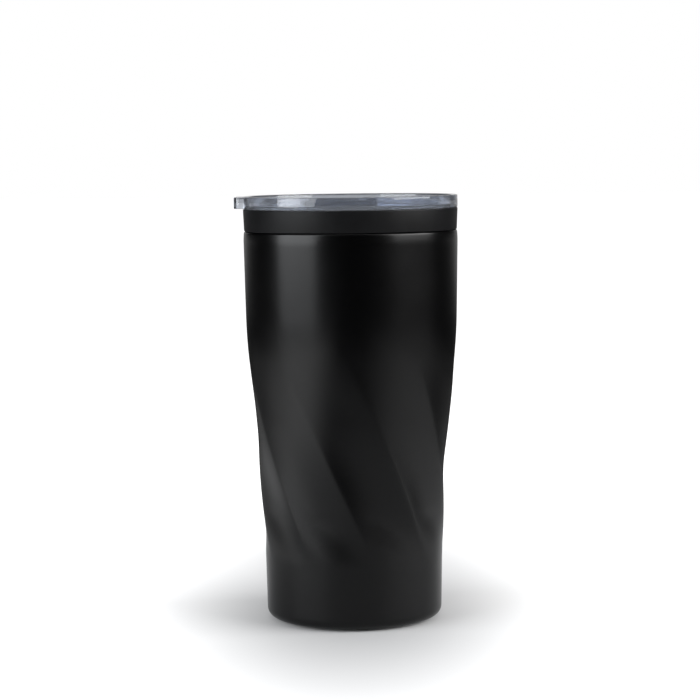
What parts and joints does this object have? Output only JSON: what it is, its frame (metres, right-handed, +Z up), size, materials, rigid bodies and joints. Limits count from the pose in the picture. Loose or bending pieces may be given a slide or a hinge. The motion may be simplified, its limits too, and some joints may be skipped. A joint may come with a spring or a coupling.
{
  "type": "insulated tumbler",
  "caption": "Double-wall insulated tumbler with a tapering painted steel shell pressed into twisted flutes, a moulded liner with a collar rim, and a clear push-on lid with a sliding closure.",
  "frame": {"origin": "on the tumbler's axis, on the resting face of the foot", "axes": "+Z up along the axis, -X towards the lid's pull tab, +X towards the sip hole"},
  "size_m": [0.0913, 0.088, 0.174],
  "materials": {
    "shell_paint": "satin powder coat",
    "base_steel": "stamped",
    "foot_rubber": "matt",
    "liner_plastic": "fine matt grain",
    "seal_rubber": "matt",
    "lid_clear": "clear, polished",
    "gasket_silicone": "translucent, satin",
    "slider_plastic": "polished",
    "pad_silicone": "satin"
  },
  "bodies": {
    "tumbler": {"outer_shell": "shell_paint", "base_plate": "base_steel", "foot_pad": "foot_rubber", "inner_liner": "liner_plastic", "shell_seal": "seal_rubber"},
    "lid": {"lid_shell": "lid_clear", "lid_gasket": "gasket_silicone"},
    "closure": {"slider": "slider_plastic", "slider_seal": "pad_silicone"}
  },
  "joints": [
    {"name": "lid_lift", "type": "slide", "parent": "tumbler", "child": "lid", "axis": [0, 0, 1], "range_m": [0, 0.06]},
    {"name": "slider_slide", "type": "slide", "parent": "lid", "child": "closure", "axis": [1, 0, 0], "range_m": [0, 0.0246]}
  ]
}
